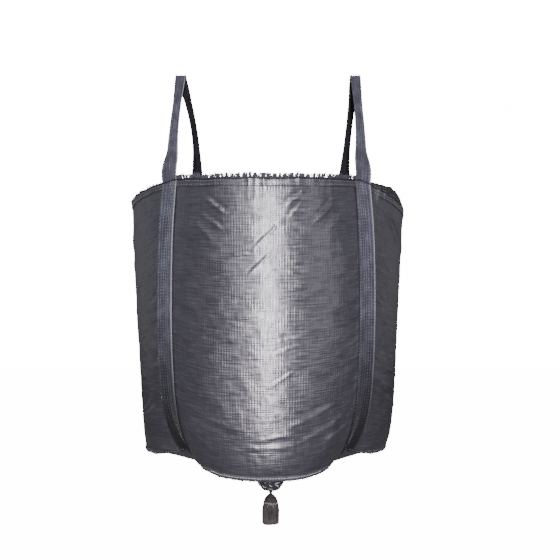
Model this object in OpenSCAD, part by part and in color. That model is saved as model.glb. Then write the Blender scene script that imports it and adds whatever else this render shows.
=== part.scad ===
// Bulk bag (flexible intermediate bulk container), filled, hanging from two lifting loops.
// Four woven panels bulge between webbing straps that hold the corners in. The top skirt is
// folded inside, and the discharge spout hangs tied below the base.
// Millimetres, +Z up, -Y is the front. The origin is the centre of the outlet in the base.

/* [Bag body] */
// Height of the base seam's corners above the outlet
base_corner_z = 126; // [100:1:150]
// How far the seam sags below them at the middle of the front and rear panels
front_sag = 64; // [20:1:80]
// How far it sags at the middle of the side panels
side_sag = 20; // [10:1:80]
// How far the straps pull the base up inside its corners
corner_tuck = 30; // [0:1:40]
// Height of the rim above the outlet, at the corners
rim_z = 1203; // [900:1:1500]
// How far the rim dips at the middle of the front and rear panels
front_dip = 52; // [0:1:70]
// How far it dips at the middle of the left panel
left_dip = 34; // [0:1:70]
// How far it slumps at the middle of the right panel
right_dip = 66; // [0:1:80]
// Corner of the filled bag, from the centre along X and Y, at mid-height
corner_mid = 393; // [330:1:430]
// The same distance at the base
corner_base = 304; // [260:1:340]
// How far the loops draw the corners in at the rim
corner_draw = 26; // [0:1:40]
// Reach of a bulging panel from the centre, carried down to the base
bulge_low = 551; // [500:1:590]
// Extra reach of the panel at the rim
bulge_gain = 54; // [0:1:80]
// Modelled thickness of the coated fabric
fabric = 3; // [2:0.5:5]

/* [Webbing] */
// Height of the hook seat above the rim
loop_rise = 566; // [450:1:700]
// Distance of the hook seats from the centre along X
loop_seat_x = 394; // [360:1:420]
// Width of the webbing where it is free of the bag
webbing_w = 96; // [60:1:100]
// Width of the webbing gathered over a hook
webbing_hook_w = 46; // [35:1:60]
// Modelled thickness of the webbing
webbing_t = 2.4; // [2:0.1:4]
// Radius of the bend over a hook, to the inner face
hook_r = 16; // [10:1:25]
// Height of the loops' fold line above the rim
fold_rise = 45; // [40:1:55]

/* [Top skirt] */
// Height of the soft roll above the rim, at the middle of the right panel
roll_h = 50; // [16:1:60]
// Share of that height at the ends of the right panel
roll_end = 0.15; // [0.1:0.05:1]
// Height of the roll at the middle of the front, rear and left panels
roll_low_h = 11; // [8:1:32]
// How far the folded skirt hangs down inside
skirt_drop = 330; // [150:10:450]

/* [Seams] */
// Height of the hem sewn around the rim
hem_h = 30; // [20:1:45]
// Width of the raw flange below the base seam
flange_h = 18; // [12:1:35]
// Width of the seam allowance inside each corner
allowance = 18; // [8:1:22]

/* [Discharge spout] */
// Radius of the outlet in the base
outlet_r = 175; // [150:1:190]
// Radius of the gathered closure sleeve
sleeve_r = 48; // [44:1:60]
// Radius of the thin neck between the sleeve and the bundle
neck_r = 11; // [8:0.5:13]
// Radius of the spout's tied bundle
bundle_r = 36; // [30:1:40]
// Length of the bundle
bundle_len = 134; // [110:1:200]
// Diameter of the tie cords
cord_d = 5; // [4:0.5:6]

/* [Hidden] */

$fn = 64;

// Clear gap left between neighbouring pieces
gap = 0.5;
// Share of a panel's half width at which a strap's edge lies
strap_edge = 0.893;
// Steps across the plain part of a panel
across_steps = 16;
// Places across a panel, from one corner (-1) to the other (1)
across = concat(
  [-1, -(1 + strap_edge) / 2],
  [for (i = [0:across_steps]) strap_edge * (2 * i / across_steps - 1)],
  [(1 + strap_edge) / 2, 1]
);
// The same places without those that a strap covers, ending just short of the straps
between_edge = strap_edge - 0.014;
between = concat([-between_edge], [for (a = across) if (abs(a) < between_edge) a], [between_edge]);
// Levels up a panel, from the base seam (0) to the rim (1), closer together low down
levels = [0, 0.02, 0.045, 0.075, 0.11, 0.15, 0.2, 0.27, 0.36, 0.5, 0.65, 0.8, 0.9, 0.97, 1];
// Height over which the corners and panels draw in above the base seam
corner_curl = 130;
bulge_curl = 70;
bulge_draw = 24;
// Level above which the corners are drawn in
draw_level = 0.55;
wall_h = rim_z - base_corner_z + front_sag;
fabric_half = fabric / 2;
strap_in = fabric_half + gap;
strap_out = strap_in + webbing_t;
fold_z = rim_z + fold_rise;
seat_z = rim_z + loop_rise;
neck_pivot_z = -94;
bundle_pivot_z = -125;
tie_z = bundle_pivot_z - 33;
SLATE = "#3b3d40";
WEB = "#5d6368";
THREAD = "#8d8f8e";
DARK = "#2b2927";

// ---- The filled shape: four arcs, held in at the corners ----

function corner_at(t) = corner_mid - (corner_mid - corner_base) * exp(-t * wall_h / corner_curl)
  - (t > draw_level ? corner_draw * pow((t - draw_level) / (1 - draw_level), 2) : 0);
function bulge_at(t) = bulge_low + bulge_gain * t - bulge_draw * exp(-t * wall_h / bulge_curl);
function half_angle(t) = 2 * atan((bulge_at(t) - corner_at(t)) / corner_at(t));
function arc_r(t) = corner_at(t) / sin(half_angle(t));
function arc_y(t) = corner_at(t) - arc_r(t) * cos(half_angle(t));
// Angle at which an arc, moved out by o, meets the corner's mitre plane
function end_angle(t, o, g) = 45 + asin((arc_y(t) - sqrt(2) * g) / (sqrt(2) * (arc_r(t) + o)));
function low_z(a, k) = base_corner_z - (k % 2 == 0 ? front_sag : side_sag) * (1 - pow(abs(a), 3));
rim_dips = [front_dip, right_dip, front_dip, left_dip];
function high_z(a, k) = rim_z - rim_dips[k] * (1 - a * a);
function level_z(a, t, k) = low_z(a, k) + t * (high_z(a, k) - low_z(a, k));

// Side k is 0 at the front, 1 on the right, 2 at the rear and 3 on the left
function turned(p, k) =
  k == 0 ? p : k == 1 ? [-p[1], p[0], p[2]] : k == 2 ? [-p[0], -p[1], p[2]] : [p[1], -p[0], p[2]];

// Point of panel k at place a and level t, moved out by o, lifted by dz, g short of the mitre
function wall_at(k, a, t, o, dz = 0, g = 0) =
  let (angle = a * end_angle(t, o, g), r = arc_r(t) + o)
  turned([r * sin(angle), -(arc_y(t) + r * cos(angle)), level_z(a, t, k) + dz], k);

// ---- Solids from two matching grids of points, an outer face and an inner one ----

function flat_list(rows) = [for (row = rows) for (p = row) p];

module sheet(outer, inner, ring = false) {
  n = len(outer[0]);
  m = len(outer);
  last = ring ? n - 1 : n - 2;
  quads = concat(
    [for (i = [0:m - 2]) for (j = [0:last]) let (k = (j + 1) % n)
      [i * n + j, (i + 1) * n + j, (i + 1) * n + k, i * n + k]],
    [for (i = [0:m - 2]) for (j = [0:last]) let (k = (j + 1) % n, b = m * n)
      [b + i * n + j, b + i * n + k, b + (i + 1) * n + k, b + (i + 1) * n + j]],
    [for (j = [0:last]) let (k = (j + 1) % n, b = m * n) [j, k, b + k, b + j]],
    [for (j = [0:last]) let (k = (j + 1) % n, b = m * n, r = (m - 1) * n)
      [r + k, r + j, b + r + j, b + r + k]],
    ring ? [] : [for (i = [0:m - 2]) let (b = m * n) [(i + 1) * n, i * n, b + i * n, b + (i + 1) * n]],
    ring ? [] : [for (i = [0:m - 2]) let (b = m * n, e = n - 1)
      [i * n + e, (i + 1) * n + e, b + (i + 1) * n + e, b + i * n + e]]
  );
  polyhedron(
    points = concat(flat_list(outer), flat_list(inner)),
    faces = [for (q = quads) for (f = [[q[0], q[1], q[2]], [q[0], q[2], q[3]]]) f]
  );
}

// ---- Body fabric ----

module side_panel(k) {
  half_gap = gap / 2;
  sheet(
    [for (t = levels) [for (a = across) wall_at(k, a, t, fabric_half, 0, half_gap)]],
    [for (t = levels) [for (a = across) wall_at(k, a, t, -fabric_half, 0, half_gap)]]
  );
}
module front_panel() { color(SLATE) side_panel(0); }
module right_panel() { color(SLATE) side_panel(1); }
module rear_panel() { color(SLATE) side_panel(2); }
module left_panel() { color(SLATE) side_panel(3); }

// Share of the way out from the outlet to the base seam
base_steps = [0, 0.08, 0.16, 0.3, 0.45, 0.6, 0.75, 0.88, 1];
patch_steps = [0, 0.08, 0.16];
base_curl = 1.1;

// A point of the base, q of the way out from the outlet to place a on side k's edge
function base_at(k, a, q, dz) =
  let (e = wall_at(k, a, 0, -fabric_half - gap, fabric), s = outlet_r / norm([e[0], e[1]]) * (1 - q) + q)
  [e[0] * s, e[1] * s, e[2] * pow(q, base_curl) + corner_tuck * pow(abs(a), 3) * 4 * q * (1 - q) + dz];
function base_row(q, dz) = [for (k = [0:3]) for (i = [0:len(across) - 2]) base_at(k, across[i], q, dz)];

module base_sheet(steps, dz, thick) {
  sheet(
    [for (q = steps) base_row(q, dz - thick / 2)],
    [for (q = steps) base_row(q, dz + thick / 2)],
    ring = true
  );
}
module base_panel() { color(SLATE) base_sheet(base_steps, 0, fabric); }
module outlet_patch() { color(SLATE) base_sheet(patch_steps, -fabric - gap / 2, fabric - 1); }

// The skirt's path in section, where the roll is full: distance in from the wall, height above the rim
skirt_path = [
  [4, -25], [4, -6], [6, 0.43 * roll_h], [12, 0.86 * roll_h], [21, roll_h], [31, 0.79 * roll_h],
  [37, 0.14 * roll_h], [42, -40], [52, -120], [64, -skirt_drop * 0.65], [76, -skirt_drop]
];
skirt_half = 1;
function path_dir(i) =
  let (a = skirt_path[max(i - 1, 0)], b = skirt_path[min(i + 1, len(skirt_path) - 1)]) (b - a) / norm(b - a);
// The roll is low at the corners, where the straps hold the rim, and full only on the right
function roll_share(a, k) = (k == 1 ? 1 : roll_low_h / roll_h) * (roll_end + (1 - roll_end) * (1 - a * a));
function skirt_row(i, side) =
  let (p = skirt_path[i], d = path_dir(i), off = side * skirt_half * [-d[1], d[0]])
  [for (k = [0:3]) for (j = [0:len(across) - 2])
    let (a = across[j], rise = p[1] > 0 ? p[1] * roll_share(a, k) : p[1])
      wall_at(k, a, 1, -p[0] - off[0], rise + off[1])];

module top_skirt() {
  rows = [0:len(skirt_path) - 1];
  color(DARK) sheet([for (i = rows) skirt_row(i, 1)], [for (i = rows) skirt_row(i, -1)], ring = true);
}

// ---- Webbing ----

// Height of the sewn strap above the rim, below the sweep of its loop
strap_stand = 7;
strap_middle = (1 + strap_edge) / 2;
function strap_row(k, t, o, dz) = concat(
  [for (a = [strap_edge, strap_middle, 1]) wall_at(k, a, t, o, dz)],
  [for (a = [strap_middle, strap_edge]) wall_at((k + 1) % 4, -a, t, o, dz)]
);

// A sewn-down strap lies half on one panel and half on the next, from the base seam to the rim
module corner_strap(k) {
  stops = concat([for (t = levels) [t, 0]], [[1, strap_stand]]);
  sheet(
    [for (s = stops) strap_row(k, s[0], strap_out, s[1])],
    [for (s = stops) strap_row(k, s[0], strap_in, s[1])]
  );
}
module front_right_strap() { color(WEB) corner_strap(0); }
module rear_right_strap() { color(WEB) corner_strap(1); }
module rear_left_strap() { color(WEB) corner_strap(2); }
module front_left_strap() { color(WEB) corner_strap(3); }

// The free loop runs from the front corner over the hook to the rear corner of one side.
// Its ends are round about the fold line, so that it can fold in and out.
root_x = corner_mid - corner_draw + 2;
root_y = root_x;
root_r = webbing_w / 2 / sqrt(2);
leg_lean = atan(root_y / (loop_rise - fold_rise));
seat_r = hook_r + webbing_t / 2;
// Where a straight leg meets the bend over the hook, measured from the bend's centre
bend_z = seat_z - seat_r;
leg_top = [seat_r * cos(leg_lean), bend_z + seat_r * sin(leg_lean)];
leg_steps = 8;
bend_steps = 10;
root_steps = 5;

// Stations of the front half: [across X, along Y, height, share of the way up, half width factor]
function root_station(i) =
  let (f = 90 * i / root_steps + 8 * (1 - i / root_steps))
  [root_x, -root_y, fold_z - root_r * cos(f), 0, sin(f)];
function leg_station(i) =
  let (s = i / leg_steps)
  [root_x + (loop_seat_x - root_x) * s, -root_y + (root_y - leg_top[0]) * s, fold_z + (leg_top[1] - fold_z) * s, s, 1];
function bend_station(i) =
  let (f = leg_lean + (90 - leg_lean) * i / bend_steps)
  [loop_seat_x, -seat_r * cos(f), bend_z + seat_r * sin(f), 1, 1];
half_stations = concat(
  [for (i = [0:root_steps - 1]) root_station(i)],
  [for (i = [0:leg_steps]) leg_station(i)],
  [for (i = [1:bend_steps]) bend_station(i)]
);
function across_back(s) = [s[0], -s[1], s[2], s[3], s[4]];
loop_stations = concat(
  half_stations,
  [for (i = [len(half_stations) - 2:-1:0]) across_back(half_stations[i])]
);
// The webbing turns from square to the corner's diagonal at the rim to square to the hook at the top
function width_dir(s) =
  let (turn = 45 * (1 - s[3]), side = s[1] > 0 ? -1 : 1) [cos(turn), side * sin(turn), 0];
function path_at(i) = [loop_stations[i][0], loop_stations[i][1], loop_stations[i][2]];
function run_dir(i) =
  let (d = path_at(min(i + 1, len(loop_stations) - 1)) - path_at(max(i - 1, 0))) d / norm(d);
function loop_row(i, side) =
  let (
    s = loop_stations[i],
    w = width_dir(s),
    half = s[4] * (webbing_hook_w + (webbing_w - webbing_hook_w) * pow(1 - s[3], 3)) / 2,
    normal = cross(w, run_dir(i)),
    out = normal / norm(normal) * side * webbing_t / 2
  )
  [for (u = [-1, 0, 1]) path_at(i) + w * half * u + out];

module right_loop() {
  stations = [0:len(loop_stations) - 1];
  color(WEB) sheet([for (i = stations) loop_row(i, 1)], [for (i = stations) loop_row(i, -1)]);
}
module left_loop() { mirror([1, 0, 0]) right_loop(); }

// ---- Seams ----

module rim_hem(k) {
  hem_out = strap_in + 2;
  hem_levels = [for (drop = [hem_h, hem_h / 2, 0]) 1 - drop / wall_h];
  sheet(
    [for (t = hem_levels) [for (a = between) wall_at(k, a, t, hem_out)]],
    [for (t = hem_levels) [for (a = between) wall_at(k, a, t, strap_in)]]
  );
}
module front_rim_hem() { color(SLATE) rim_hem(0); }
module right_rim_hem() { color(SLATE) rim_hem(1); }
module rear_rim_hem() { color(SLATE) rim_hem(2); }
module left_rim_hem() { color(SLATE) rim_hem(3); }

// The raw flange stands out a little as it hangs below the seam
module base_seam(k) {
  drops = [-flange_h, -flange_h / 2, -gap];
  flare = 0.25;
  sheet(
    [for (dz = drops) [for (a = between) wall_at(k, a, 0, 2 - dz * flare, dz)]],
    [for (dz = drops) [for (a = between) wall_at(k, a, 0, -2 - dz * flare, dz)]]
  );
}
module front_base_seam() { color(THREAD) base_seam(0); }
module right_base_seam() { color(THREAD) base_seam(1); }
module rear_base_seam() { color(THREAD) base_seam(2); }
module left_base_seam() { color(THREAD) base_seam(3); }

// Inside each corner the edges of two panels are turned in and sewn together
module corner_seam(k) {
  seam_levels = [for (t = levels) if (t < 0.95) t];
  seam_half = 2;
  side = seam_half / sqrt(2);
  function seam_at(t, depth, s) =
    let (p = wall_at(0, 1, t, -fabric_half - 2 * gap), d = depth / sqrt(2))
    turned([p[0] - d + s * side, p[1] + d + s * side, p[2] + 6], k);
  sheet(
    [for (t = seam_levels) [for (d = [0, allowance]) seam_at(t, d, -1)]],
    [for (t = seam_levels) [for (d = [0, allowance]) seam_at(t, d, 1)]]
  );
}
module front_right_corner_seam() { color(DARK) corner_seam(0); }
module rear_right_corner_seam() { color(DARK) corner_seam(1); }
module rear_left_corner_seam() { color(DARK) corner_seam(2); }
module front_left_corner_seam() { color(DARK) corner_seam(3); }

// ---- Outlet and discharge spout ----

// Outer line of the gathered sleeve, from the outlet down to its ruffled mouth: [radius, height]
groove_r = 30;
groove_z = -91;
sleeve_line = [
  [outlet_r + 8, -8], [outlet_r * 0.55, -19], [sleeve_r + 12, -34], [sleeve_r, -50], [sleeve_r, -72],
  [groove_r + 8, -83], [groove_r, groove_z + 3], [groove_r, groove_z - 3], [groove_r + 4, groove_z - 7],
  [groove_r + 5, -106]
];
sleeve_t = 2.5;

module closure_sleeve() {
  color(DARK) rotate_extrude() polygon(concat(
    sleeve_line,
    [for (i = [len(sleeve_line) - 1:-1:0]) [sleeve_line[i][0] - sleeve_t, sleeve_line[i][1] + (i < 3 ? sleeve_t : 0)]]
  ));
}

// A knot at the front of a wound cord, with its two ends hanging at an angle
module knot(front_y, z, droop) {
  knot_d = cord_d + 5;
  end_len = 28;
  translate([0, front_y - knot_d / 2, z]) {
    sphere(d = knot_d, $fn = 32);
    for (s = [-1, 1]) rotate([0, s * droop, 0]) cylinder(d = cord_d - 1, h = end_len, $fn = 32);
  }
}

// Cord wound side by side: one half circle a turn, outside radius r
module winding(r, z, turns) {
  steps = 6;
  low = z - turns * cord_d / 2;
  line = [
    for (i = [0:turns - 1]) for (j = [0:steps]) let (f = -85 + 170 * j / steps)
      [r + cord_d / 2 + cord_d / 2 * cos(f), low + cord_d * (i + 0.5) + cord_d / 2 * sin(f)]
  ];
  rotate_extrude() polygon(concat([[r, low]], line, [[r, low + turns * cord_d]]));
}

module closure_cord() {
  color(THREAD) {
    winding(groove_r + gap, groove_z, 1);
    knot(-(groove_r + cord_d + 2 * gap), groove_z, 115);
  }
}

// The neck hangs from inside the sleeve's mouth to the top of the bundle
module spout_neck() {
  color(DARK) rotate_extrude() polygon([
    [0, neck_pivot_z + 8], [neck_r, neck_pivot_z + 8], [neck_r + 4, neck_pivot_z], [neck_r, neck_pivot_z - 10],
    [neck_r - 2, bundle_pivot_z + 11], [neck_r - 4, bundle_pivot_z + 8], [0, bundle_pivot_z + 8]
  ]);
}

// The spout is folded up into a pleated bundle, tied below its shoulder
tie_in = bundle_r - 2;
tie_turns = 2;
module spout_bundle() {
  foot = bundle_pivot_z + 4 - bundle_len;
  color(DARK) rotate_extrude() polygon([
    [0, bundle_pivot_z + 4], [6, bundle_pivot_z + 3], [10, bundle_pivot_z - 3], [bundle_r * 0.6, bundle_pivot_z - 16],
    [tie_in - 2, tie_z + 7], [tie_in - gap, tie_z + 5], [tie_in - gap, tie_z - 5], [bundle_r * 0.97, tie_z - 10],
    [bundle_r, foot + 40], [bundle_r * 0.97, foot], [bundle_r * 0.97 - 4, foot], [12, foot + 26], [0, foot + 28]
  ]);
}
module spout_tie() {
  color(THREAD) {
    winding(tie_in, tie_z, tie_turns);
    knot(-(tie_in + cord_d + gap), tie_z, 110);
  }
}

front_panel();
right_panel();
rear_panel();
left_panel();
base_panel();
outlet_patch();
top_skirt();
front_right_strap();
rear_right_strap();
rear_left_strap();
front_left_strap();
left_loop();
right_loop();
front_rim_hem();
right_rim_hem();
rear_rim_hem();
left_rim_hem();
front_base_seam();
right_base_seam();
rear_base_seam();
left_base_seam();
front_right_corner_seam();
rear_right_corner_seam();
rear_left_corner_seam();
front_left_corner_seam();
closure_sleeve();
closure_cord();
spout_neck();
spout_bundle();
spout_tie();
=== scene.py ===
import math

import bpy
import numpy as np
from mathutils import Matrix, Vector


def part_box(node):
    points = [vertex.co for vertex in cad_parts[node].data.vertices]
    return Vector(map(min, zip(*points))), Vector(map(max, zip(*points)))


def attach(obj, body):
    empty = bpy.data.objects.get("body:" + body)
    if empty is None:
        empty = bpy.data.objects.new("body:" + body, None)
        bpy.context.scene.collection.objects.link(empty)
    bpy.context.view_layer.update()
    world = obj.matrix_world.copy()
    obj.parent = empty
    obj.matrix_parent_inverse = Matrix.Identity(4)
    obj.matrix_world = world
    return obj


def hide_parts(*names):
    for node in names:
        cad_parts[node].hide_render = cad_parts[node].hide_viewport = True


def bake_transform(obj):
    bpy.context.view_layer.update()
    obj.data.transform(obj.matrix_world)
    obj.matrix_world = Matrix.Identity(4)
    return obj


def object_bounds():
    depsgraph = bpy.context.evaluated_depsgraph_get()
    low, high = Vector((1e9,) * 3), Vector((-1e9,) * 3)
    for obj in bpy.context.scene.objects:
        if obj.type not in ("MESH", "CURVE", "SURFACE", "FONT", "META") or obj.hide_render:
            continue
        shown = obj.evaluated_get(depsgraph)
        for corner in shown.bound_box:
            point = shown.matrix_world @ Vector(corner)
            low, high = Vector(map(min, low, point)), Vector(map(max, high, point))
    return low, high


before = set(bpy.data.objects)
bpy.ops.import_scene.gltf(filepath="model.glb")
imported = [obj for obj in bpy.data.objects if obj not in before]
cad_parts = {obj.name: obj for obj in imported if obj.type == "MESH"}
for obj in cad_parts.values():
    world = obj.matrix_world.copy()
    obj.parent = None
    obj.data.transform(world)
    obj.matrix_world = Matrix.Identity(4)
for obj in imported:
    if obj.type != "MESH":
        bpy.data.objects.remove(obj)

CAD_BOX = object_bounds()
SIDES = ["front", "right", "rear", "left"]

# ---- The filled shape in metres: the same four arcs as the CAD's panels ----

PANEL_LOW, PANEL_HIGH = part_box("front_panel")
BASE_EDGE_Z = PANEL_LOW[2]
RIM_Z = PANEL_HIGH[2]
WALL_H = RIM_Z - BASE_EDGE_Z
# The base seam: its corners' height, how far each side of it sags between them, and the base's tuck there
BASE_CORNER_Z = 0.126
SAGS = (0.064, 0.020, 0.064, 0.020)
CORNER_TUCK = 0.030
RIM_DIPS = (0.052, 0.066, 0.052, 0.034)
# A corner's x and y at mid-height and at the base, how fast it turns in there, and its pull in at the rim
CORNER_MID, CORNER_BASE, CORNER_CURL = 0.393, 0.304, 0.130
CORNER_DRAW, DRAW_LEVEL = 0.026, 0.55
# How far a panel's middle stands out, low down, gained up to the rim, and drawn in at the base
BULGE_LOW, BULGE_GAIN, BULGE_DRAW, BULGE_CURL = 0.551, 0.054, 0.024, 0.070
# A panel's cut width and height, its height between the seams, and where the webbing's edge lies across it
PANEL_W, PANEL_H = 0.900, 1.150
CLOTH_H = 1.123
STRAP_EDGE = 0.893
FABRIC_T = 0.0008


def corner_at(t):
    """A corner's x and y at t, the share of the way up."""
    high = np.clip((t - DRAW_LEVEL) / (1 - DRAW_LEVEL), 0, None)
    low = np.exp(-t * WALL_H / CORNER_CURL)
    return CORNER_MID - (CORNER_MID - CORNER_BASE) * low - CORNER_DRAW * high**2


def bulge_at(t):
    """How far a panel's middle stands out at t."""
    return BULGE_LOW + BULGE_GAIN * t - BULGE_DRAW * np.exp(-t * WALL_H / BULGE_CURL)


def wall(side, a, t, out, lift=0.0):
    """Points of one side's smooth wall: a across (-1 to 1), t up (0 to 1), moved out and lifted."""
    a, t, out, lift = np.broadcast_arrays(a, t, out, lift)
    corner = corner_at(t)
    half = 2 * np.arctan2(bulge_at(t) - corner, corner)
    radius = corner / np.sin(half)
    centre = corner - radius * np.cos(half)
    end = math.pi / 4 + np.arcsin(centre / (math.sqrt(2) * (radius + out)))
    angle = a * end
    low = BASE_CORNER_Z - SAGS[side] * (1 - np.abs(a) ** 3)
    high = RIM_Z - RIM_DIPS[side] * (1 - a * a)
    z = low + t * (high - low) + lift
    points = np.stack([(radius + out) * np.sin(angle), -(centre + (radius + out) * np.cos(angle)), z], -1)
    return turned(points, side)


def turned(points, side):
    """The front wall's points, turned to a side: 0 front, 1 right, 2 rear, 3 left."""
    x, y, z = points[..., 0], points[..., 1], points[..., 2]
    return np.stack([[x, -y, -x, y][side], [y, x, -y, -x][side], z], -1)


# ---- Wrinkles: smooth noise and single folds, in metres across (s) and up (h) ----


def smooth(x):
    """0 below 0 and 1 above 1, with a soft step between."""
    x = np.clip(x, 0, 1)
    return x * x * (3 - 2 * x)


def lattice(x, y, table):
    """Smooth values between those of a table, one cell a unit, repeating past its ends."""
    wide, high = table.shape
    x, y = np.broadcast_arrays(x, y)
    xi, yi = np.floor(x).astype(int), np.floor(y).astype(int)
    fx, fy = smooth(x - xi), smooth(y - yi)
    near = table[xi % wide, yi % high] * (1 - fx) + table[(xi + 1) % wide, yi % high] * fx
    far = table[xi % wide, (yi + 1) % high] * (1 - fx) + table[(xi + 1) % wide, (yi + 1) % high] * fx
    return near * (1 - fy) + far * fy


def noise(x, y, seed):
    """Smooth noise from -1 to 1, one cell a unit."""
    return lattice(x, y, np.random.default_rng(seed).uniform(-1, 1, (64, 64)))


def ring_noise(turn, cells, y, seed):
    """Noise round a ring, which meets itself."""
    table = np.random.default_rng(seed).uniform(-1, 1, (cells, 16))
    return lattice(np.mod(turn / (2 * math.pi), 1) * cells, y, table)


def crease(x, y, seed):
    """Sharp crests with soft hollows between, from -1 to 1."""
    return 1 - 2.6 * np.abs(noise(x, y, seed))


def fold(s, h, start, end, width, height):
    """A crest from start to end, fading at both ends, with a shallow hollow beside it."""
    along = np.subtract(end, start)
    length = math.hypot(*along)
    along = along / length
    u = ((s - start[0]) * along[0] + (h - start[1]) * along[1]) / length
    v = -(s - start[0]) * along[1] + (h - start[1]) * along[0]
    fade = smooth(u / 0.25) * smooth((1 - u) / 0.35)
    crest = np.exp(-np.abs(v) / width)
    hollow = 0.45 * np.exp(-(((v + 2.2 * width) / (1.6 * width)) ** 2))
    return height * fade * (crest - hollow)


# Folds of the front panel: start and end as (s, h), crest width and height
FRONT_FOLDS = [
    ((-0.13, 0.985), (-0.26, 1.07), 0.006, 0.0070),
    ((-0.15, 0.93), (-0.26, 1.00), 0.006, 0.0065),
    ((-0.19, 0.88), (-0.30, 0.98), 0.010, 0.0035),
    ((0.15, 1.075), (0.07, 1.02), 0.006, 0.0060),
    ((0.28, 1.05), (0.16, 0.94), 0.007, 0.0065),
    ((0.14, 1.035), (0.085, 0.975), 0.005, 0.0040),
    ((0.32, 1.00), (0.22, 0.91), 0.010, 0.0035),
    ((0.055, 0.96), (-0.055, 0.85), 0.0035, 0.0034),
    ((0.025, 0.85), (-0.075, 0.755), 0.0035, 0.0034),
    ((-0.13, 0.838), (-0.05, 0.846), 0.005, 0.0025),
    ((-0.12, 0.60), (0.00, 0.62), 0.007, 0.0025),
    ((0.17, 0.545), (-0.04, 0.50), 0.0035, 0.0026),
    ((0.15, 0.51), (0.00, 0.465), 0.0035, 0.0024),
    ((0.12, 0.415), (-0.01, 0.33), 0.0035, 0.0026),
    ((-0.36, 0.32), (-0.16, 0.27), 0.010, 0.0030),
    ((-0.33, 0.24), (-0.05, 0.17), 0.010, 0.0035),
    ((0.30, 0.27), (0.06, 0.18), 0.010, 0.0035),
    ((0.33, 0.20), (0.10, 0.12), 0.009, 0.0030),
    ((-0.06, 0.14), (0.14, 0.17), 0.008, 0.0030),
    ((-0.10, 0.11), (0.16, 0.12), 0.007, 0.0028),
    ((-0.38, 0.16), (-0.22, 0.10), 0.010, 0.0050),
    ((0.38, 0.16), (0.22, 0.11), 0.010, 0.0050),
]
WIDE_CREST, THIN_CREST = 0.010, 0.007
# Creases that start at an edge of the panel: their height there, and how far in they fade away
STRAP_CREASES, RIM_CREASES, SEAM_CREASES = (0.0022, 0.050), (0.0026, 0.060), (0.0018, 0.055)
CORNER_CREASES = (0.0085, 0.11)
# How far the left side sags out over its base seam, and how far up that fades away
LEFT_SAG = (0.020, 0.08)


def fading(kind, distance):
    height, reach = kind
    return height * np.exp(-distance / reach)


def folds_of(side):
    """The front's folds are listed one by one; the other sides get folds of the same kinds.

    They run from the top corners, from the low corners, and short ones lie in the middle.
    """
    if side == 0:
        return FRONT_FOLDS
    rng = np.random.default_rng(40 + side)
    made = []
    for end in (-1, 1):
        for _ in range(3):
            s, h = end * rng.uniform(0.20, 0.34), rng.uniform(1.02, 1.08)
            run = rng.uniform(0.14, 0.24)
            tip = (s - end * run, h - run * rng.uniform(0.6, 1.1))
            made.append(((s, h), tip, WIDE_CREST, rng.uniform(0.004, 0.007)))
        for _ in range(4):
            s, h = end * rng.uniform(0.28, 0.38), rng.uniform(0.10, 0.34)
            run = rng.uniform(0.15, 0.28)
            tip = (s - end * run, h - run * rng.uniform(0.15, 0.5))
            made.append(((s, h), tip, WIDE_CREST, rng.uniform(0.003, 0.006)))
    for _ in range(9):
        s, h = rng.uniform(-0.22, 0.16), rng.uniform(0.15, 0.95)
        run = rng.uniform(0.09, 0.18)
        tip = (s + run, h + run * rng.uniform(-0.5, 0.8))
        made.append(((s, h), tip, THIN_CREST, rng.uniform(0.002, 0.004)))
    return made


def relief(side, a, t):
    """How far the fabric of one side stands out from the smooth wall."""
    a, t = np.broadcast_arrays(np.asarray(a, float), np.asarray(t, float))
    s, h = a * PANEL_W / 2, t * CLOTH_H
    seed = 100 * (side + 1)
    to_strap = np.clip((STRAP_EDGE - np.abs(a)) * PANEL_W / 2, 0, None)
    to_rim, to_base = CLOTH_H - h, h
    drift = 0.02 * noise(s * 9, h * 9, seed + 9)
    out = 0.0035 * noise(s * 3.5, h * 3.0, seed) + 0.0012 * noise(s * 9, h * 7, seed + 1)
    # Short creases that fan out from the straps, the rim hem, the base seam and its corners
    fan = h + np.sign(a) * -0.25 * s + drift
    out = out + fading(STRAP_CREASES, to_strap) * crease(fan * 30, to_strap * 8, seed + 2)
    out = out + fading(RIM_CREASES, to_rim) * crease((s + drift) * 26, to_rim * 7, seed + 3)
    out = out + fading(SEAM_CREASES, to_base) * crease((s + drift) * 24, to_base * 6, seed + 4)
    corner_low = fading(CORNER_CREASES, to_base) * smooth((np.abs(a) - 0.35) / 0.4)
    out = out + corner_low * crease(fan * 13 + 3 * np.abs(a), s * 9, seed + 5)
    # Crumpled skin all over
    out = out + 0.0005 * crease(s * 17 + h * 5, h * 15, seed + 6)
    out = out + 0.0003 * crease(s * 40, h * 44 + s * 9, seed + 7)
    out = out + 0.0003 * crease(s * 8, h * 60 + drift * 30, seed + 8)
    if SIDES[side] == "left":
        out = out + fading(LEFT_SAG, to_base) * (1 - a**4)
    for start, end, width, height in folds_of(side):
        out = out + fold(s + 0.006 * noise(s * 20, h * 20, seed + 10), h, start, end, width, height)
    return out * smooth(to_strap / 0.018)


def skin(side, a, t, out=0.0, lift=0.0):
    """Points of one side's wrinkled fabric, given as for wall."""
    return wall(side, a, t, out + relief(side, a, t), lift)


# ---- Mesh helpers ----


def belongs(made, node=None, body="bag"):
    """Puts a piece on its body, in the place of its CAD node if it has one."""
    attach(made, body)
    if node:
        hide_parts(node)


def new_object(name, data):
    made = bpy.data.objects.new(name, data)
    bpy.context.collection.objects.link(made)
    return made


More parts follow.
